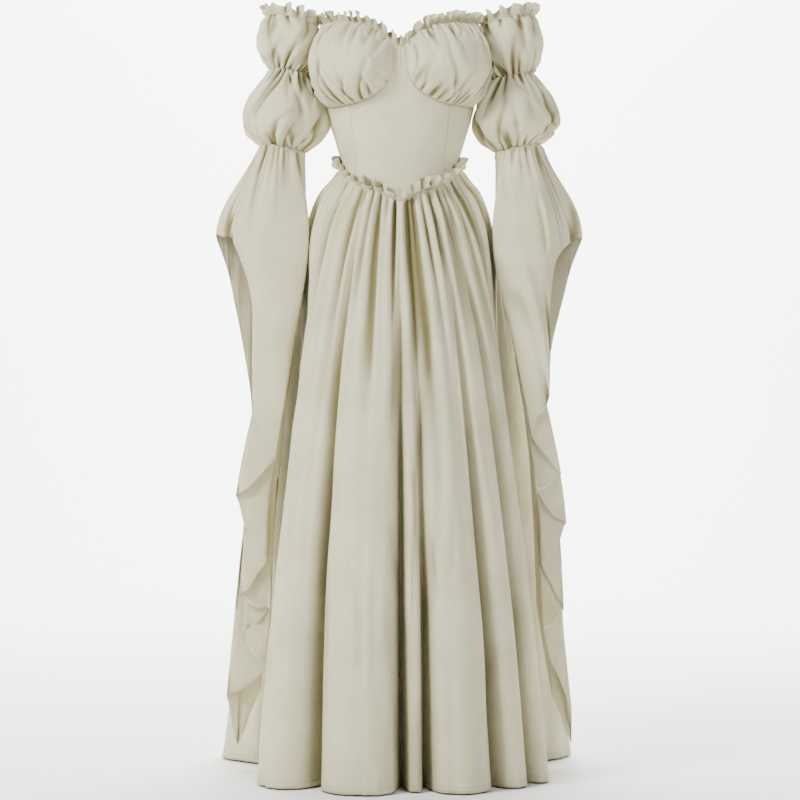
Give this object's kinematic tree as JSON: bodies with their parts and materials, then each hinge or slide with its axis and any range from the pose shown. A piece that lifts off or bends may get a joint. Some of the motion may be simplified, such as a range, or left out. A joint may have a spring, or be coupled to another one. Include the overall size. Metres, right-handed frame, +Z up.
{
  "type": "regency dress",
  "caption": "Long off-shoulder gown in soft ecru cloth: gathered cups, pointed waist, puffed sleeves with long trailing ends, full gathered skirt; hollow, as when worn.",
  "frame": {"origin": "The middle of the wearer's waist, level with the waist seam at the sides, where the wearer holds the dress up.", "axes": "+Z up along the wearer, the front faces -Y, +X is the wearer's left."},
  "size_m": [0.6473, 0.6562, 1.3352],
  "materials": {
    "ecru_cotton": "soft matt woven cotton, undyed"
  },
  "bodies": {
    "root": {"bodice_front": "ecru_cotton", "bodice_side_front_left": "ecru_cotton", "bodice_side_front_right": "ecru_cotton", "bodice_side_left": "ecru_cotton", "bodice_side_right": "ecru_cotton", "bodice_back_left": "ecru_cotton", "bodice_back_right": "ecru_cotton", "cup_left": "ecru_cotton", "cup_right": "ecru_cotton", "neck_frill_front": "ecru_cotton", "neck_frill_back": "ecru_cotton", "neck_frill_sleeve_left": "ecru_cotton", "neck_frill_sleeve_right": "ecru_cotton", "waist_frill": "ecru_cotton", "sleeve_upper_left": "ecru_cotton", "sleeve_upper_right": "ecru_cotton", "sleeve_lower_left": "ecru_cotton", "sleeve_lower_right": "ecru_cotton", "sleeve_end_left": "ecru_cotton", "sleeve_end_right": "ecru_cotton", "skirt_front": "ecru_cotton", "skirt_back_left": "ecru_cotton", "skirt_back_right": "ecru_cotton"}
  },
  "joints": []
}
